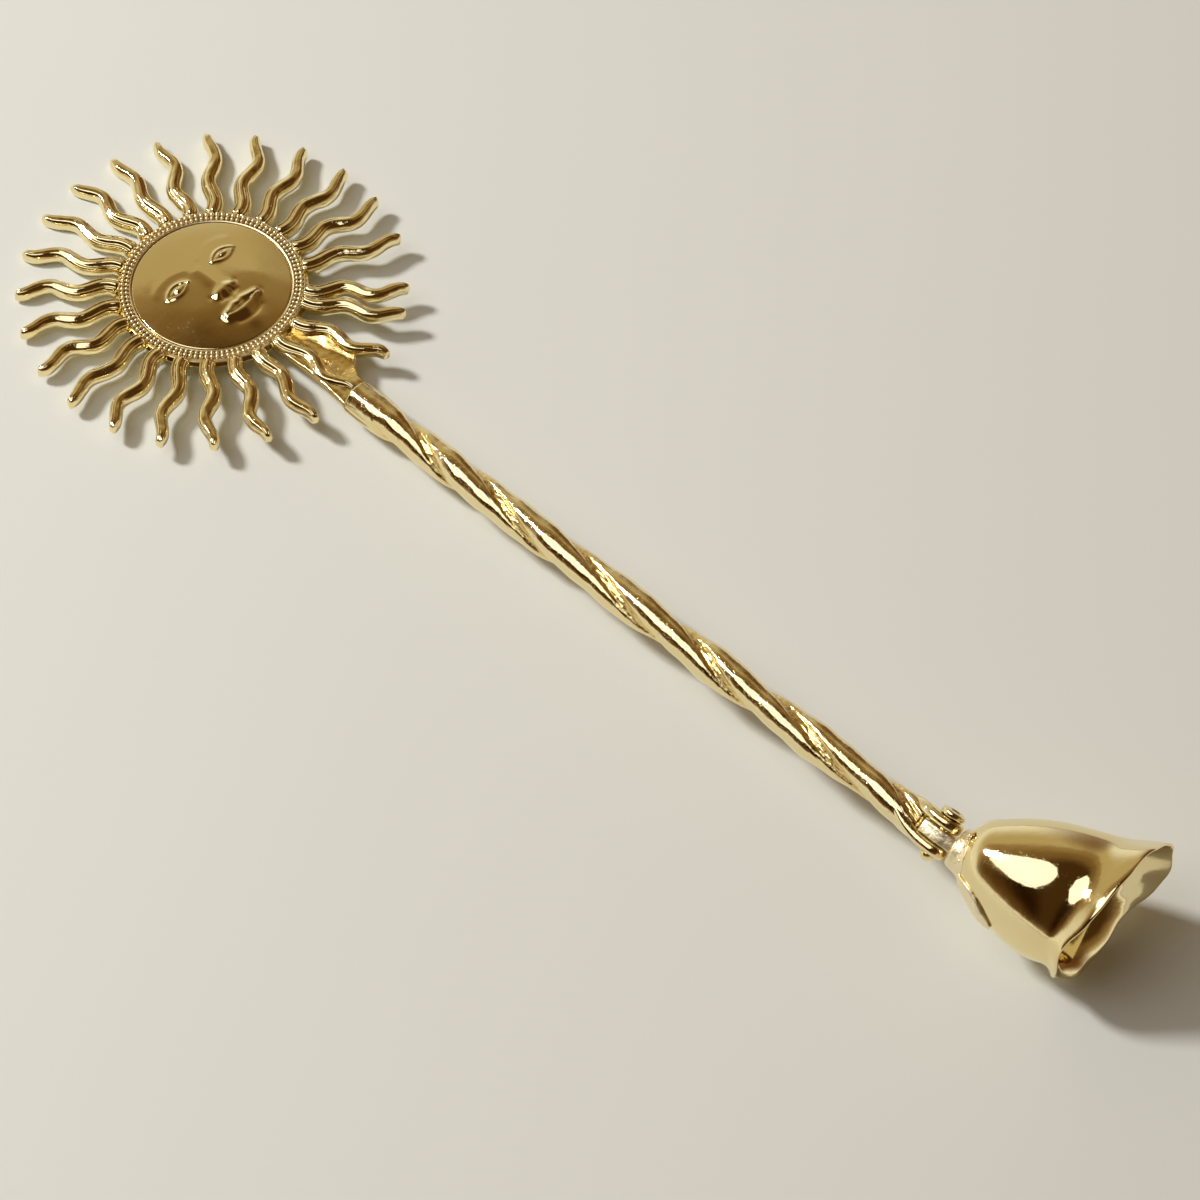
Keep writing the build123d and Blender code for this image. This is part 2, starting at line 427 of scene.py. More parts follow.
def polished_gold(name, peel=0.10, shine=0.07, pale=0.0, rough_hollow=None, hollow_colour=None):
    """Plated gold: a soft orange-peel skin, faint clouding and fine pits."""
    look = sizes("finishes")
    gold = Finish(bpy.data.materials.new(name))
    cloud = gold.noise(70.0, 3.0)
    skin = gold.noise(520.0, 3.0, 0.45)
    pits = gold.noise(2600.0, 2.0).between(0.62, 0.74)
    warm = cloud.between(0.35, 0.75)
    # pale lifts the base colour toward a painted highlight.
    plain = Vector(look.gold).lerp(Vector(PAINTED_HIGHLIGHT_GOLD), pale)
    colour = gold.blend(warm * 0.22, rgba(plain), rgba(look.deep_gold))
    rough = shine + 0.06 * gold.noise(240.0, 4.0).between(0.35, 0.75) + 0.10 * pits
    height = skin - 0.25 * pits
    # Hollows named by rough_hollow turn rough and grained and take the hollow colour: deep gold by default,
    # painted shade between the beads on the bezel.
    if rough_hollow:
        hollow = gold.attribute(rough_hollow)
        grain = gold.noise(1500.0, 4.0, 0.6)
        colour = gold.blend(hollow * 0.8, colour, rgba(hollow_colour or look.deep_gold))
        rough = rough + 0.16 * hollow * grain
        height = height + 2.5 * hollow * grain
    gold.set("Base Color", colour)
    gold.set("Roughness", rough)
    gold.set("Normal", gold.bump(height, peel, SKIN_DEPTH))
    gold.set("Metallic", 1.0)
    return gold.owner


# Sun

RAY_OUTLINE = (
    (-0.5, 0.0), (0.5, 0.0), (1.0, 0.02), (1.06, 0.26), (1.06, 0.5), (0.96, 0.74), (0.74, 0.88), (0.5, 0.76),
    (0.27, 0.98), (0.0, 1.03), (-0.27, 0.98), (-0.5, 0.76), (-0.74, 0.88), (-0.96, 0.74), (-1.06, 0.5),
    (-1.06, 0.26), (-1.0, 0.02))
RAY_GROOVES = (7, 11)
RAY_STEPS = 12
RAY_LUMP = 0.075
CREPT_RAYS = {1: 1.0, 2: 1.5, 3: -4.5}


def ray_lean(index, sun):
    """How far a ray stands from its even place: the side away from the handle has crept round a little."""
    away = math.cos(TURN * (index / sun.ray_count - 0.69))
    return math.radians(-2.6 * max(0.0, away) + CREPT_RAYS.get(index, 0.0))


def ray(index, sun):
    """One wavy ray along X, its wave a little different from its neighbours'."""
    half = mm(sun.ray_width) / 2
    height = mm(sun.ray_height)
    root = mm(sun.bezel_radius)
    length = mm(sun.tip_radius) - root
    wave = mm(sun.ray_wave) * (1 + 0.15 * math.sin(2.7 * index))
    phase = 0.3 * math.sin(1.9 * index + 0.6)
    beat = TURN / mm(sun.wave_length)
    stations = []
    for k in range(RAY_STEPS + 2):
        part = min(k / RAY_STEPS, 0.985)
        width, rise = 1.02 - 0.36 * part ** 1.6, 1 - 0.12 * part
        if k == RAY_STEPS:
            width, rise = 0.54, 0.78
        if k == RAY_STEPS + 1:
            part, width, rise = 1.0, 0.3, 0.55
        run = -0.3 + (length + 0.3) * part
        angle = beat * (run - 2.0) + phase
        fade = 0.75 + 0.3 * part
        swing = -wave * fade * math.cos(angle)
        slope = wave * fade * beat * math.sin(angle)
        stations.append(((root + run, swing, -SUN_DROP), math.atan(slope), (1, width, rise)))
    centre, angle = stations[0][:2]
    x, y, z = centre
    piece = outline("ray", [(x, y + u * half, z + v * height) for u, v in RAY_OUTLINE])
    turn(angle, "Z", centre)
    cap()
    walk(stations, "Z")
    choose_lanes(piece, len(RAY_OUTLINE), RAY_GROOVES, lambda p: p.x > root + 0.35 * length)
    move((0, 0, 0.13 * height))
    choose_lanes(piece, len(RAY_OUTLINE), RAY_GROOVES, lambda p: p.x > root + 0.6 * length)
    move((0, 0, 0.08 * height))
    smooth(piece, 2)
    place(piece, Matrix.Rotation(TURN * index / sun.ray_count + ray_lean(index, sun), 4, "Z"))
    outward = [vert.normal.copy() for vert in piece.data.vertices]
    for vert, way in zip(piece.data.vertices, outward):
        lump = noise.noise(vert.co * 0.55) + 0.5 * noise.noise(vert.co * 1.3)
        vert.co += way * RAY_LUMP * lump
    return piece


def hub(sun):
    """Disc behind the face that carries the rays."""
    edge = mm(sun.bezel_radius) + 0.6
    low, high = -SUN_DROP, SUN_TOP - FACE_DROP
    piece = lathe("hub", [
        (0.0, low), (edge - 0.4, low), (edge, low + 0.4),
        (edge, high - 0.5), (edge - 0.5, high), (0.0, high)], 96)
    piece.select_set(True)
    bpy.ops.object.shade_smooth_by_angle(angle=math.radians(35))
    return piece


TONGUE_LOW = ((16.0, -2.2), (26.0, -1.9), (33.0, -2.5), (36.6, -3.0))
TONGUE_HIGH = ((16.0, 4.3), (28.6, 7.6), (30.6, 5.0), (33.0, 3.4), (36.6, 3.0))


def along_line(points, x):
    """Height of a line through the points at x."""
    for (a, low), (b, high) in zip(points, points[1:]):
        if x <= b:
            break
    return low + (high - low) * (x - a) / (b - a)


def tongue(sun):
    """Plate from the hub under the handle's own ray, with a sunk web to the ray beside it."""
    start()
    bpy.ops.mesh.primitive_grid_add(x_subdivisions=40, y_subdivisions=20, size=2)
    piece = bpy.context.object
    first, last = TONGUE_LOW[0][0], TONGUE_LOW[-1][0]
    beside = math.tan(TURN / sun.ray_count)
    for vert in piece.data.vertices:
        x = first + (last - first) * (vert.co.x + 1) / 2
        low, high = along_line(TONGUE_LOW, x), along_line(TONGUE_HIGH, x)
        y = low + (high - low) * (vert.co.y + 1) / 2
        web = max(0.0, min(1.0, (y - 0.8) / (x * beside - 0.8)))
        sunk = 0.85 * math.sin(math.pi * web) * min(1.0, max(0.0, (33.5 - x) / 3))
        grain = noise.noise(Vector((x, y, 0)) * 0.9) + 0.5 * noise.noise(Vector((x, y, 5)) * 2.2)
        vert.co = (x, y, 0.6 - sunk + 0.13 * grain)
    bpy.ops.object.mode_set(mode="EDIT")
    bpy.ops.mesh.select_all(action="SELECT")
    pull((0, 0, -1))
    swell((1, 1, 0), (0, 0, -SUN_DROP))
    smooth(piece, 1)
    web_gold = piece.data.attributes.new("groove", "FLOAT", "POINT")
    for vert in piece.data.vertices:
        web_gold.data[vert.index].value = 1.0 if vert.co.z < 0.45 else 0.25
    return piece


class SNUFFER_OT_sun(bpy.types.Operator):
    """Models the sun's rays, hub and tongue"""

    bl_idname = "snuffer.sun"
    bl_label = "Sun rays"

    def execute(self, context):
        sun = context.scene.sun
        pieces = [hub(sun), tongue(sun)] + [ray(k, sun) for k in range(sun.ray_count)]
        piece = join(pieces, "sun_rays_cast")
        place(piece, handle_frame())
        gold = polished_gold("ray_gold", peel=0.10, shine=0.07, rough_hollow="groove")
        dress(piece, "frame", gold, "sun_rays")
        return {"FINISHED"}


BEAD_FLOOR = 0.42
BEAD_RISE = 0.74
BEAD_ROWS = ((0.60, 1.0), (1.37, 0.82))


class SNUFFER_OT_bezel(bpy.types.Operator):
    """Models the beaded ring round the face"""

    bl_idname = "snuffer.bezel"
    bl_label = "Beaded bezel"

    def execute(self, context):
        sun = context.scene.sun
        out = mm(sun.bezel_radius)
        low = SUN_TOP
        floor = low + BEAD_FLOOR
        middle = low + BEAD_RISE
        ring = lathe("ring", [
            (out - 2.15, low), (out, low), (out, low + 0.7), (out - 0.06, low + 0.8),
            (out - 0.14, low + 0.74), (out - 0.2, floor), (out - 1.76, floor), (out - 1.84, low + 0.78),
            (out - 1.98, low + 0.88), (out - 2.15, low + 0.78)], 160)
        ring.select_set(True)
        bpy.ops.object.shade_smooth_by_angle(angle=math.radians(50))
        # The floor between the bead rows is marked for painted shade.
        deep = ring.data.attributes.new("groove", "FLOAT", "POINT")
        for vert in ring.data.vertices:
            deep.data[vert.index].value = 1.0 if abs(vert.co.z - floor) < 0.01 else 0.0
        rows = [ring]
        for offset, share in BEAD_ROWS:
            start()
            bead = mm(sun.bead_radius) * share
            bpy.ops.mesh.primitive_uv_sphere_add(
                segments=10, ring_count=7, radius=bead, location=(out - offset, 0, middle))
            beads = bpy.context.object
            bpy.ops.object.transform_apply(location=True)
            bpy.ops.object.shade_smooth()
            bpy.ops.object.mode_set(mode="EDIT")
            bpy.ops.mesh.select_all(action="SELECT")
            swell((1, 0.95, 1.1), (out - offset, 0, middle))
            bpy.ops.mesh.spin(
                steps=sun.bead_count, dupli=True, angle=TURN, center=(0, 0, 0), axis=(0, 0, 1))
            bpy.ops.mesh.select_all(action="SELECT")
            bpy.ops.mesh.remove_doubles(threshold=1e-4)
            bpy.ops.object.mode_set(mode="OBJECT")
            rows.append(beads)
        piece = join(rows, "bead_bezel_ring")
        place(piece, handle_frame() @ Matrix.Translation((0, 0, -FACE_DROP)))
        # The marked floor between the beads takes painted shade.
        gold = polished_gold(
            # pale lifts the beads' gold as a painted highlight.
            "bead_gold", peel=0.02, shine=0.38, pale=0.35, rough_hollow="groove",
            hollow_colour=context.scene.finishes.bead_gap_shade)
        dress(piece, "frame", gold, "bead_bezel")
        return {"FINISHED"}


def arc(centre, long, bow, count=9):
    """Points of a flat bow across Y, bulging along X."""
    shares = [-1 + 2 * k / (count - 1) for k in range(count)]
    return [(centre[0] + bow * (1 - t * t), centre[1] + long * t) for t in shares]


class Stroke:
    """A soft ridge or furrow of the relief along a line."""

    def __init__(self, path, width, height):
        self.spans = [(Vector(a), Vector(b)) for a, b in zip(path, path[1:])]
        self.width = width
        self.height = height
        reach = 2.6 * width
        self.low = Vector(map(min, *path)) - Vector((reach, reach))
        self.high = Vector(map(max, *path)) + Vector((reach, reach))

    def rise(self, x, y):
        if not (self.low.x < x < self.high.x and self.low.y < y < self.high.y):
            return 0.0
        spot = Vector((x, y))
        nearest = 1e9
        for a, b in self.spans:
            along = b - a
            share = max(0.0, min(1.0, (spot - a).dot(along) / max(along.length_squared, 1e-9)))
            nearest = min(nearest, (spot - a - along * share).length)
        return self.height * math.exp(-(nearest / self.width) ** 2)


def dot(x, y, width, height):
    """A round knob or dimple of the relief."""
    return Stroke([(x, y), (x, y + 0.001)], width, height)


def face_strokes():
    """The sun's face: calm eyes, a soft nose and full lips, with the chin toward the handle."""
    strokes = []
    for side in (-1, 1):
        eye = (-2.9, 5.6 * side)
        strokes += [
            Stroke([(eye[0], eye[1] - 1.2), (eye[0], eye[1] + 1.2)], 0.95, 0.18),
            dot(eye[0], eye[1], 0.55, 0.30),
            Stroke(arc((eye[0], eye[1]), 2.5, -1.25), 0.32, 0.20),
            Stroke(arc((eye[0], eye[1]), 2.4, 1.1), 0.30, 0.15),
            Stroke(arc((eye[0], eye[1]), 2.3, -0.85), 0.22, -0.16),
            Stroke(arc((eye[0], eye[1]), 2.2, 0.7), 0.20, -0.08),
            Stroke(arc((-5.4, eye[1] - 0.3 * side), 3.4, -1.0), 0.9, 0.07),
            dot(3.2, 1.75 * side, 0.75, 0.26),
            dot(4.1, 1.05 * side, 0.5, -0.12),
            dot(2.8, 2.9 * side, 0.5, -0.07),
            dot(3.8, 7.0 * side, 3.0, 0.12),
            dot(7.5, 4.5 * side, 0.6, -0.14)]
    strokes += [
        Stroke([(-3.2, 0), (2.4, 0)], 1.3, 0.20),
        Stroke([(3.0, -0.8), (3.2, 0), (3.0, 0.8)], 1.05, 0.36),
        Stroke([(4.5, -1.8), (4.8, 0), (4.5, 1.8)], 0.5, -0.10),
        Stroke(
            [(7.5, -3.8), (6.95, -2.2), (6.6, -0.9), (6.85, 0), (6.6, 0.9), (6.95, 2.2), (7.5, 3.8)],
            0.62, 0.40),
        Stroke([(7.8, -3.3), (8.35, -1.8), (8.55, 0), (8.35, 1.8), (7.8, 3.3)], 0.85, 0.46),
        Stroke([(7.5, -4.0), (7.6, -1.6), (7.5, 0), (7.6, 1.6), (7.5, 4.0)], 0.24, -0.34),
        Stroke(arc((9.9, 0), 2.6, 0.6), 0.5, -0.12),
        dot(11.3, 0, 1.8, 0.16)]
    return strokes


FACE_RINGS = 84


class SNUFFER_OT_face(bpy.types.Operator):
    """Models the domed disc with the sun's face"""

    bl_idname = "snuffer.face"
    bl_label = "Sun face"

    def execute(self, context):
        sun = context.scene.sun
        radius, dome = mm(sun.face_radius), mm(sun.face_dome)
        low, edge = SUN_TOP, SUN_TOP + 0.8
        profile = [(0, low), (radius, low), (radius, edge - 0.12)]
        for k in range(FACE_RINGS + 1):
            part = 1 - k / FACE_RINGS
            profile.append((part * (radius - 0.08), edge + dome * (1 - part * part)))
        piece = lathe("face", profile, 160)
        strokes = face_strokes()
        for vert in piece.data.vertices:
            if vert.co.z > edge - 0.05:
                vert.co.z += sum(stroke.rise(vert.co.x, vert.co.y) for stroke in strokes)
        bpy.ops.object.mode_set(mode="EDIT")
        smooth(piece, 1)
        place(piece, handle_frame() @ Matrix.Translation((0, 0, -FACE_DROP)))
        dress(piece, "frame", polished_gold("face_gold", peel=0.03, shine=0.06), "face_disc")
        piece.name = "face_disc_sun"
        return {"FINISHED"}


# Handle

TWIST_MARKS = (-6.0, 10.2, 25.5, 48.6, 74.6, 94.9, 122.0, 139.6)
TWIST_START = math.radians(25.7)
TONGUE_END = 36.4


def groove_angle(run):
    """Direction of the groove at a distance along the handle, half a turn on at each mark."""
    for k, (a, b) in enumerate(zip(TWIST_MARKS, TWIST_MARKS[1:])):
        if run <= b or k == len(TWIST_MARKS) - 2:
            return TWIST_START + math.pi * (k - 1 + (run - a) / (b - a))
    raise ValueError("no mark past this run")


GROOVE_EDGE = math.radians(21)
SMOOTH_START = 10.0
SHANK_STEPS = 96


def shank_ring(cast):
    """Section with Y along the groove: two strands and, between them, a sunk panel with crisp edges."""
    crest, hollow = mm(cast.strand_reach), mm(cast.groove_reach)
    quarter = [(0, hollow), (9, hollow), (15, hollow + 0.03), (19, hollow + 0.3), (24, crest - 0.62),
               (36, crest - 0.32), (54, crest - 0.12), (72, crest)]
    half = quarter + [(90, crest)] + [(180 - a, r) for a, r in reversed(quarter[1:])]
    turns = half + [(a + 180, r) for a, r in half]
    return [(0, r * math.cos(math.radians(a)), r * math.sin(math.radians(a))) for a, r in turns]


def groove_depth(place_at):
    """1 on the groove's panel, 0 on the strands, at a place on the shank."""
    turned = math.atan2(place_at.z, place_at.y) - groove_angle(place_at.x - TONGUE_END)
    away = math.acos(min(1.0, abs(math.cos(turned))))
    return max(0.0, min(1.0, 1.6 - away / GROOVE_EDGE))


def shank(cast):
    """Two strands with a groove between them, twisted along X and left a little rough."""
    first = TONGUE_END - 0.9
    end = PIN_X - FORK_SETBACK
    stations = []
    for k in range(SHANK_STEPS + 1):
        at = first + (end - first) * k / SHANK_STEPS
        run = at - TONGUE_END
        lump = 1 + 0.045 * math.sin(0.31 * run) + 0.025 * math.sin(0.83 * run + 1)
        lump *= 1 - 0.16 * max(0.0, (at - end + 7) / 7)
        if k == 0:
            lump *= 0.86
        stations.append(((at, 0, 0), groove_angle(run), (1, lump, lump)))
    lump = stations[0][2][1]
    piece = outline("shank", [(first, y * lump, z * lump) for x, y, z in shank_ring(cast)])
    turn(stations[0][1], "X", stations[0][0])
    cap()
    walk(stations, "X")
    smooth(piece, 2)
    deep = piece.data.attributes.new("groove", "FLOAT", "POINT")
    round_reach = 0.98 * mm(cast.strand_reach)
    for vert in piece.data.vertices:
        depth = groove_depth(vert.co)
        whole = max(0.0, min(1.0, (TONGUE_END + SMOOTH_START - vert.co.x) / 4))
        reach = math.hypot(vert.co.y, vert.co.z)
        on_side = reach > round_reach / 2 and vert.co.x > first + 0.3
        filled = whole * (round_reach - reach) if on_side else 0.0
        depth *= 1 - whole
        deep.data[vert.index].value = depth
        out = Vector((0, vert.co.y, vert.co.z)).normalized()
        grain = noise.noise(vert.co * Vector((1.1, 1.7, 1.7))) + 0.6 * noise.noise(vert.co * 3.1)
        dent = noise.noise(vert.co * 0.22)
        vert.co += out * (filled + 0.16 * depth * grain + 0.14 * (1 - depth) * dent)
    return piece


def ear(cast, side):
    """Lobe that grows out of its strand to a round end at the rivet."""
    thick, tall = mm(cast.ear_thick), 2 * mm(cast.ear_radius)
    middle = mm(cast.knuckle_thick) / 2 + 0.1 + thick / 2
    lobe = [
        (-15.0, 0.45, 0.6, 0.35), (-12.0, 0.55, 0.9, 0.55), (-9.5, 0.64, 1.1, 0.66),
        (-7.0, 0.76, 1.15, 0.76), (-5.0, 0.88, 1.12, 0.84), (-2.6, 0.98, 1.0, 0.92), (0.0, 1.0, 1.0, 0.98),
        (1.3, 1.0, 1.0, 0.9), (2.2, 0.99, 0.94, 0.68), (2.75, 0.98, 0.8, 0.36)]
    fork_turn = groove_angle(PIN_X - FORK_SETBACK - TONGUE_END)
    stations = []
    for x, p, t, h in lobe:
        twist = groove_angle(PIN_X + min(x, -FORK_SETBACK) - TONGUE_END) - fork_turn
        out = side * p * middle
        stations.append((
            (x, out * math.cos(twist), out * math.sin(twist)), twist, (1, t * thick / 2, h * tall / 2)))
    centre, angle, size = stations[0]
    count = 16
    ring = []
    for k in range(count):
        c, s = math.cos(TURN * k / count), math.sin(TURN * k / count)
        ring.append((
            centre[0], centre[1] + size[1] * math.copysign(abs(c) ** 0.6, c),
            centre[2] + size[2] * math.copysign(abs(s) ** 0.75, s)))
    piece = outline("ear", ring)
    turn(angle, "X", centre)
    cap()
    walk(stations, "X")
    smooth(piece, 2)
    return piece


class SNUFFER_OT_handle(bpy.types.Operator):
    """Models the twisted handle and the ears of its fork"""

    bl_idname = "snuffer.handle"
    bl_label = "Twisted handle"

    def execute(self, context):
        cast = context.scene.handle
        ears = [ear(cast, side) for side in (-1, 1)]
        to_handle = handle_frame().inverted() @ fork_frame()
        for piece in ears:
            place(piece, to_handle)
        piece = join([shank(cast)] + ears, "handle_twist")
        place(piece, handle_frame())
        gold = polished_gold("handle_gold", peel=0.20, shine=0.08, rough_hollow="groove")
        dress(piece, "frame", gold, "handle")
        return {"FINISHED"}


class SNUFFER_OT_rivet(bpy.types.Operator):
    """Models the rivet of the hinge"""

    bl_idname = "snuffer.rivet"
    bl_label = "Hinge rivet"

    def execute(self, context):
        far = 3.75
        piece = lathe("hinge_rivet", [
            (0.0, -far - 1.3), (0.55, -far - 1.22), (1.0, -far - 0.95), (1.3, -far - 0.5), (1.35, -far),
            (1.0, -far + 0.01), (1.0, far - 0.01), (2.1, far), (2.2, far + 0.15), (2.2, far + 0.75),
            (2.05, far + 0.95), (1.75, far + 1.05), (1.35, far + 1.0), (1.15, far + 0.8), (0.9, far + 0.75),
            (0.55, far + 0.85), (0.0, far + 0.95)], 40)
        piece.select_set(True)
        bpy.ops.object.shade_smooth_by_angle(angle=math.radians(40))
        place(piece, fork_frame() @ Matrix.Rotation(-math.pi / 2, 4, "X"))
        dress(piece, "frame", polished_gold("rivet_gold", peel=0.25, shine=0.12), "hinge_pin")
        return {"FINISHED"}


# Bell

NECK_AT = 3.5
SEAT_AT = 6.0
SHOULDER_AT = 9.6
MOUTH_SHIFT = 6.3
SHOULDER_TILT = math.radians(17.5)
MOUTH_TILT = math.radians(-7.3)
NEAR_SIDE = math.radians(81)
CUP_SIDES = 60
NECK_SIDES = 32
LOW_SIDE = ((5.0, -0.3), (8.0, -0.3), (10.0, 0.3), (14.0, 1.4), (22.0, 1.4), (27.0, 1.0), (32.0, 0.5))


def cup_axis(at, bell):
    """Centre and tilt of the cup's ring at a distance from the rivet; its low side stands out more."""
    mouth = mm(bell.mouth_reach)
    along = (at - SEAT_AT) / (mouth - SEAT_AT)
    turned = max(0.0, (at - SHOULDER_AT) / (mouth - SHOULDER_AT))
    tilt = SHOULDER_TILT + (MOUTH_TILT - SHOULDER_TILT) * turned * turned
    return (at, MOUTH_SHIFT * along - along_line(LOW_SIDE, at) / 2, 0), tilt


def cup_profile(bell):
    """Rings of the cup's outside from its top to the lip: place, radius along the rivet and across it."""
    shoulder, mouth, reach = mm(bell.shoulder_radius), mm(bell.mouth_radius), mm(bell.mouth_reach)
    rings = [(SEAT_AT - 0.5, 4.3, 4.3), (SEAT_AT, 5.0, 5.0), (SEAT_AT + 0.9, 6.05, 6.05),
             (SEAT_AT + 2.1, 7.05, 7.05)]
    for along, share, spread in (
            (0.0, -0.03, 0.0), (0.18, 0.22, 0.3), (0.36, 0.40, 0.55), (0.52, 0.49, 0.75),
            (0.65, 0.53, 0.9), (0.74, 0.565, 1.0), (0.81, 0.63, 1.05), (0.88, 0.78, 1.15),
            (0.94, 0.93, 1.3), (0.985, 1.01, 1.45)):
        across = shoulder + share * (mouth - shoulder)
        rings.append((SHOULDER_AT + along * (reach - SHOULDER_AT), across + spread, across))
    return [(at, along + along_line(LOW_SIDE, at) / 2, across) for at, along, across in rings]


def cup_point(bell, at, angle, lift):
    """Place on the cup's outside, lifted off it."""
    rings = cup_profile(bell)
    for (a, p, q), (b, p2, q2) in zip(rings, rings[1:]):
        if at <= b:
            break
    share = (at - a) / (b - a)
    along, across = p + (p2 - p) * share + lift, q + (q2 - q) * share + lift
    centre, tilt = cup_axis(at, bell)
    spoke = Vector((0, along * math.cos(angle), across * math.sin(angle)))
    return Vector(centre) + Matrix.Rotation(tilt, 3, "Z") @ spoke


class SNUFFER_OT_cup(bpy.types.Operator):
    """Models the bell's flower-shaped cup"""

    bl_idname = "snuffer.cup"
    bl_label = "Bell cup"

    def execute(self, context):
        bell = context.scene.bell
        wall = mm(bell.wall)
        outside = cup_profile(bell)
        at, along, across = outside[-1]
        lip = [(at + 0.3, along - 0.15, across - 0.15), (at + 0.32, along - 0.5, across - 0.5),
               (at - 0.1, along - 0.85, across - 0.85)]
        inside = [(at, p - wall, q - wall) for at, p, q in reversed(outside[4:-1])]
        inside += [(SEAT_AT + 2.6, 4.6, 4.6), (SEAT_AT + 2.1, 2.5, 2.5)]
        stations = []
        for at, p, q in outside + lip + inside:
            centre, tilt = cup_axis(at, bell)
            stations.append((centre, tilt, (1, p, q)))
        centre, tilt, size = stations[0]
        spokes = [TURN * k / CUP_SIDES for k in range(CUP_SIDES)]
        piece = outline("cup", [
            (centre[0], centre[1] + size[1] * math.cos(a), size[2] * math.sin(a)) for a in spokes])
        turn(tilt, "Z", centre)
        cap()
        walk(stations, "Z")
        self.wave_lip(piece, bell)
        smooth(piece, 2)
        piece.name = "bell_cup_flower"
        place(piece, bell_frame())
        dress(piece, "bell", polished_gold("cup_gold", peel=0.05, shine=0.05), "bell_cup")
        return {"FINISHED"}

    def wave_lip(self, piece, bell):
        """Sets the lip back on its upper side, draws it out below and leaves soft lobes in it."""
        reach = mm(bell.mouth_reach)
        wave = mm(bell.lip_wave)
        middle = cup_axis(reach, bell)[0][1]

        def pull_lip(aim, width, step, draw):
            def on_lip(p):
                away = math.atan2(p.z, p.y - middle) - aim
                return p.x > reach - 4.2 and abs(math.remainder(away, TURN)) < width

            choose(piece, on_lip)
            press(step, draw)

        pull_lip(NEAR_SIDE, 0.9, (-0.9, 0, 0), 7.0)
        pull_lip(NEAR_SIDE - 0.45, 0.9, (-0.25, -0.2, -1.45), 9.0)
        pull_lip(NEAR_SIDE + math.pi, 0.9, (1.5, 0, 0.75), 7.0)
        pull_lip(math.radians(188), 0.6, (0.3, 0, 0), 6.0)
        pull_lip(math.radians(228), 0.5, (0, 0.14, 0.18), 6.0)
        for lobe, depth in ((95, 0.5), (230, 0.6), (300, 1.0), (330, 0.6)):
            angle = math.radians(lobe)
            step = (wave * depth, 0.5 * wave * math.cos(angle), 0.5 * wave * math.sin(angle))
            pull_lip(angle, 0.2, step, 4.0)
        for dip in (30, 130, 265):
            pull_lip(math.radians(dip), 0.16, (-0.5 * wave, 0, 0), 3.2)
        pull_lip(math.radians(2), 0.14, (-0.7, -0.6, 0), 3.5)
        pull_lip(math.radians(182), 0.14, (-0.8, 0.45, 0), 3.5)
        pull_lip(math.radians(197), 0.2, (0.8, -0.7, 0.05), 3.3)


def sepal(bell, angle, spread, rise):
    """Plump leaf that runs from the neck down over the cup's shoulder to a point."""
    start()
    bpy.ops.mesh.primitive_grid_add(x_subdivisions=14, y_subdivisions=8, size=2)
    piece = bpy.context.object
    first, last = SEAT_AT - 0.4, SEAT_AT + 7.4
    for vert in piece.data.vertices:
        along, across = (vert.co.x + 1) / 2, vert.co.y
        swelling = math.sin(math.pi * (0.16 + 0.84 * along)) ** 0.7 if along < 1 else 0.04
        at = first + (last - first) * along
        radius = 4.4 + 0.5 * (at - first)
        plump = (0.35 + 0.8 * along) * ((1 - across * across) ** 1.5 + 0.10 * math.cos(9 * along))
        lift = -0.15 + swelling * rise * plump
        vert.co = cup_point(bell, at, angle + across * spread * swelling / radius, lift)
    thick = piece.modifiers.new("thick", "SOLIDIFY")
    thick.thickness = 0.5
    thick.offset = -1
    bpy.ops.object.modifier_apply(modifier=thick.name)
    bpy.ops.object.mode_set(mode="EDIT")
    smooth(piece, 1)
    return piece


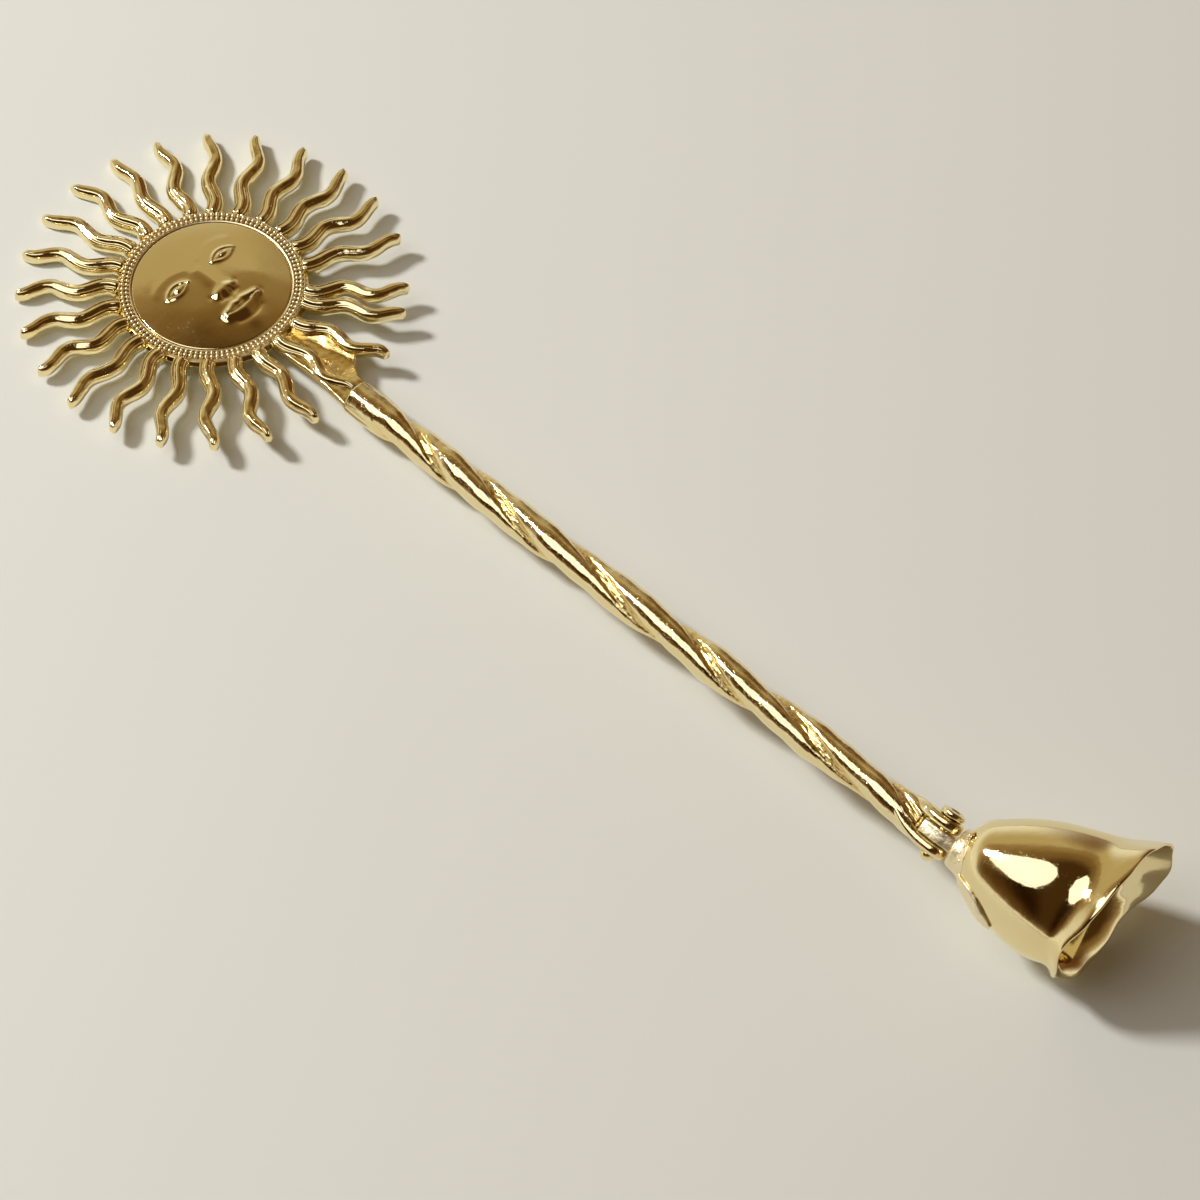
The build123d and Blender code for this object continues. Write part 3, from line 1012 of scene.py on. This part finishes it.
class SNUFFER_OT_calyx(bpy.types.Operator):
    """Models the knuckle, the neck and the leaves on the bell's shoulder"""

    bl_idname = "snuffer.calyx"
    bl_label = "Bell calyx"

    def execute(self, context):
        bell = context.scene.bell
        pieces = [self.knuckle(), self.heel(), self.neck()]
        for angle, spread, rise in ((154, 2.5, 1.2), (318, 2.5, 0.8)):
            pieces.append(sepal(bell, math.radians(angle), spread, rise))
        pieces += self.seeds()
        piece = join(pieces, "bell_calyx_leaves")
        place(piece, bell_frame())
        # pale lifts the calyx's gold as a painted highlight.
        dress(piece, "bell", polished_gold("calyx_gold", peel=0.6, shine=0.34, pale=0.5), "bell_calyx")
        return {"FINISHED"}

    def knuckle(self):
        """Plate that turns on the rivet between the ears."""
        start()
        bpy.ops.mesh.primitive_cylinder_add(vertices=32, radius=2.6, depth=2.4, rotation=(math.pi / 2, 0, 0))
        piece = bpy.context.object
        bpy.ops.object.transform_apply(rotation=True)
        bpy.ops.object.mode_set(mode="EDIT")
        bpy.ops.mesh.select_mode(type="FACE")
        mesh = bmesh.from_edit_mesh(piece.data)
        for face in mesh.faces:
            face.select_set(abs(face.normal.y) < 0.5 and face.calc_center_median().x > 0.05)
        bmesh.update_edit_mesh(piece.data)
        pull((4.4, 0, 0))
        swell((0, 1, 1), (4.4, 0, 0))
        bpy.ops.mesh.select_mode(type="VERT")
        bpy.ops.mesh.select_all(action="SELECT")
        bpy.ops.mesh.dissolve_limited(angle_limit=math.radians(1))
        bpy.ops.mesh.select_all(action="SELECT")
        bpy.ops.mesh.normals_make_consistent(inside=False)
        bevel(piece, 0.25)
        return piece

    def heel(self):
        """Block behind the knuckle that stops the bell against the fork."""
        start()
        back = Matrix.Rotation(-BELL_DROOP, 4, "Y")
        bpy.ops.mesh.primitive_cube_add(
            size=1, location=back @ Vector((-1.5, 0, 1.25)), rotation=(0, -BELL_DROOP, 0))
        piece = bpy.context.object
        piece.scale = (3.0, 2.36, 2.5)
        bpy.ops.object.transform_apply(location=True, rotation=True, scale=True)
        bevel(piece, 0.3)
        return piece

    def neck(self):
        """Round neck that spreads into the cup's top."""
        rings = [(NECK_AT - 0.45, 2.4), (NECK_AT - 0.42, 3.0), (NECK_AT - 0.2, 3.55), (NECK_AT + 0.4, 3.8),
                 (NECK_AT + 1.1, 3.9), (NECK_AT + 1.8, 4.35), (SEAT_AT, 5.0), (SEAT_AT + 0.3, 5.1)]
        stations = []
        for at, size in rings:
            tilt = SHOULDER_TILT * max(0.0, (at - NECK_AT) / (SEAT_AT - NECK_AT))
            stations.append(((at, 0, 0), tilt, (1, size, size)))
        centre, tilt, size = stations[0]
        spokes = [TURN * k / NECK_SIDES for k in range(NECK_SIDES)]
        piece = outline("neck", [
            (centre[0], size[1] * math.cos(a), size[1] * math.sin(a)) for a in spokes])
        turn(tilt, "Z", centre)
        cap()
        walk(stations, "Z")
        smooth(piece, 2)
        return piece

    def seeds(self):
        """A few small raised dots near the neck."""
        seeds = []
        for at, angle, size in (
                (5.3, 40, 0.34), (5.5, 56, 0.30), (5.2, 72, 0.30), (4.9, 88, 0.26), (5.3, 104, 0.26),
                (4.6, 120, 0.24)):
            start()
            bpy.ops.mesh.primitive_ico_sphere_add(subdivisions=2, radius=size)
            seed = bpy.context.object
            turned = math.radians(angle)
            reach = 3.8 + 0.75 * max(0.0, at - 4.6)
            lean = Matrix.Rotation(SHOULDER_TILT * (at - NECK_AT) / (SEAT_AT - NECK_AT), 3, "Z")
            out = lean @ Vector((0, math.cos(turned), math.sin(turned)))
            seed.location = Vector((at, 0, 0)) + out * reach
            seed.scale = (1, 1, 0.8)
            bpy.ops.object.transform_apply(location=True, scale=True)
            bpy.ops.object.shade_smooth()
            seeds.append(seed)
        return seeds


# Stage

VIEW_AZIMUTH = math.radians(40.47)
VIEW_HEIGHT = math.radians(57.73)
VIEW_ROLL = math.radians(2.83)
VIEW_REACH = 1.0411
VIEW_AIM = Vector((0.00871, 0.00134, 0))
LENS = 180.0
RIGHT_WALL = (0.10, 0.98, 0.15)
LEFT_WALL = (-0.25, -0.90, 0.36)
LOW_LIGHT = (0.80, 0.78, 0.72)
HIGH_LIGHT = (0.46, 0.37, 0.20)
KEY_SPOT = (-0.96, -0.42, 1.05)


class SNUFFER_OT_stage(bpy.types.Operator):
    """Sets the floor, the soft lights and the camera"""

    bl_idname = "snuffer.stage"
    bl_label = "Stage"

    def execute(self, context):
        self.floor()
        self.world(context.scene)
        self.lamp("key", KEY_SPOT, 0.24, 16.0, (1.0, 0.985, 0.95))
        self.lamp("fill", tuple(self.beside_camera()), 1.0, 3.6, (1.0, 0.99, 0.96))
        self.camera(context.scene)
        context.scene.view_settings.view_transform = "Standard"
        return {"FINISHED"}

    def floor(self):
        start()
        bpy.ops.mesh.primitive_plane_add(size=6)
        floor = bpy.context.object
        floor.name = "floor"
        look = Finish(bpy.data.materials.new("floor_pale"))
        tone = look.noise(9.0, 2.0)
        colour = sizes("finishes").floor
        dim = tuple(c * 0.97 for c in colour)
        look.set("Base Color", look.blend(tone, rgba(colour), rgba(dim)))
        look.set("Roughness", 0.85)
        look.set("Specular IOR Level", 0.2)
        floor.data.materials.append(look.owner)

    def world(self, scene):
        """Pale low down and dim overhead, with dark walls behind the camera and along both sides.

        All but the right wall stop a little above the floor.
        """
        scene.world = bpy.data.worlds.new("studio")
        sky = Finish(scene.world, "Background")
        way = sky.node("ShaderNodeTexCoord", {}, out=0)
        height = sky.node("ShaderNodeSeparateXYZ", {}, way, out=2)
        light = sky.blend(height.between(0.08, 0.55), rgba(LOW_LIGHT), rgba(HIGH_LIGHT))
        above = height.between(0.02, 0.15)
        for wall, near, far, tint in (
                (self.back(), 0.20, 0.31, (0.62, 0.52, 0.40)),
                (self.back(), 0.31, 0.50, (0.645, 0.558, 0.425)),
                (self.back(), 0.50, 0.75, (0.30, 0.24, 0.206)),
                (RIGHT_WALL, 0.60, 0.92, (0.22, 0.11, 0.05)),
                (LEFT_WALL, 0.80, 0.97, (0.34, 0.25, 0.14))):
            toward = sky.node("ShaderNodeVectorMath", {"operation": "DOT_PRODUCT"}, way, wall, out=1)
            shade = toward.between(near, far)
            if wall != RIGHT_WALL:
                shade = shade * above
            light = sky.blend(shade, light, rgba(tint), "MULTIPLY")
        sky.set("Color", light)
        sky.set("Strength", 1.0)

    def lamp(self, name, spot, size, power, colour):
        light = bpy.data.lights.new(name, "AREA")
        light.shape = "DISK"
        light.size = size
        light.energy = power
        light.color = colour
        lamp = bpy.data.objects.new(name, light)
        bpy.context.scene.collection.objects.link(lamp)
        lamp.location = spot
        lamp.rotation_euler = (-Vector(spot)).to_track_quat("-Z", "Y").to_euler()

    def beside_camera(self):
        """Place of the large soft light, to the left of the camera and above it."""
        back = self.back()
        right = Vector((math.cos(VIEW_AZIMUTH), math.sin(VIEW_AZIMUTH), 0))
        return 1.25 * (back - 0.55 * right + 0.45 * back.cross(right)).normalized()

    def back(self):
        """Direction from the part to the camera."""
        flat = math.cos(VIEW_HEIGHT)
        return Vector((math.sin(VIEW_AZIMUTH) * flat, -math.cos(VIEW_AZIMUTH) * flat, math.sin(VIEW_HEIGHT)))

    def camera(self, scene):
        back = self.back()
        right = Vector((math.cos(VIEW_AZIMUTH), math.sin(VIEW_AZIMUTH), 0))
        up = back.cross(right)
        c, s = math.cos(VIEW_ROLL), math.sin(VIEW_ROLL)
        right, up = c * right + s * up, c * up - s * right
        eye = VIEW_AIM + VIEW_REACH * back
        view = bpy.data.cameras.new("view")
        view.sensor_width = 36.0
        view.lens = LENS
        camera = bpy.data.objects.new("view", view)
        scene.collection.objects.link(camera)
        camera.matrix_world = Matrix((
            (right.x, up.x, back.x, eye.x), (right.y, up.y, back.y, eye.y),
            (right.z, up.z, back.z, eye.z), (0, 0, 0, 1)))
        scene.camera = camera


class SNUFFER_PT_panel(bpy.types.Panel):
    """Lists the snuffer's pieces and sizes"""

    bl_idname = "SNUFFER_PT_panel"
    bl_label = "Snuffer"
    bl_space_type = "VIEW_3D"
    bl_region_type = "UI"
    bl_category = "Snuffer"

    def draw(self, context):
        for operator in OPERATORS:
            self.layout.operator(operator.bl_idname)
        for group in GROUPS:
            data = getattr(context.scene, group)
            for name in data.__annotations__:
                self.layout.prop(data, name)


GROUPS = {"sun": SunSizes, "handle": HandleSizes, "bell": BellSizes, "finishes": Finishes}
OPERATORS = (
    SNUFFER_OT_sun, SNUFFER_OT_bezel, SNUFFER_OT_face, SNUFFER_OT_handle, SNUFFER_OT_rivet, SNUFFER_OT_cup,
    SNUFFER_OT_calyx, SNUFFER_OT_stage)


def register():
    for kind in (*GROUPS.values(), *OPERATORS, SNUFFER_PT_panel):
        bpy.utils.register_class(kind)
    for name, kind in GROUPS.items():
        setattr(bpy.types.Scene, name, PointerProperty(type=kind))


def unregister():
    for name in GROUPS:
        delattr(bpy.types.Scene, name)
    for kind in reversed((*GROUPS.values(), *OPERATORS, SNUFFER_PT_panel)):
        bpy.utils.unregister_class(kind)


def main():
    register()
    bpy.ops.snuffer.stage()
    bpy.ops.snuffer.sun()
    bpy.ops.snuffer.bezel()
    bpy.ops.snuffer.face()
    bpy.ops.snuffer.handle()
    bpy.ops.snuffer.rivet()
    bpy.ops.snuffer.cup()
    bpy.ops.snuffer.calyx()


if __name__ == "__main__":
    main()
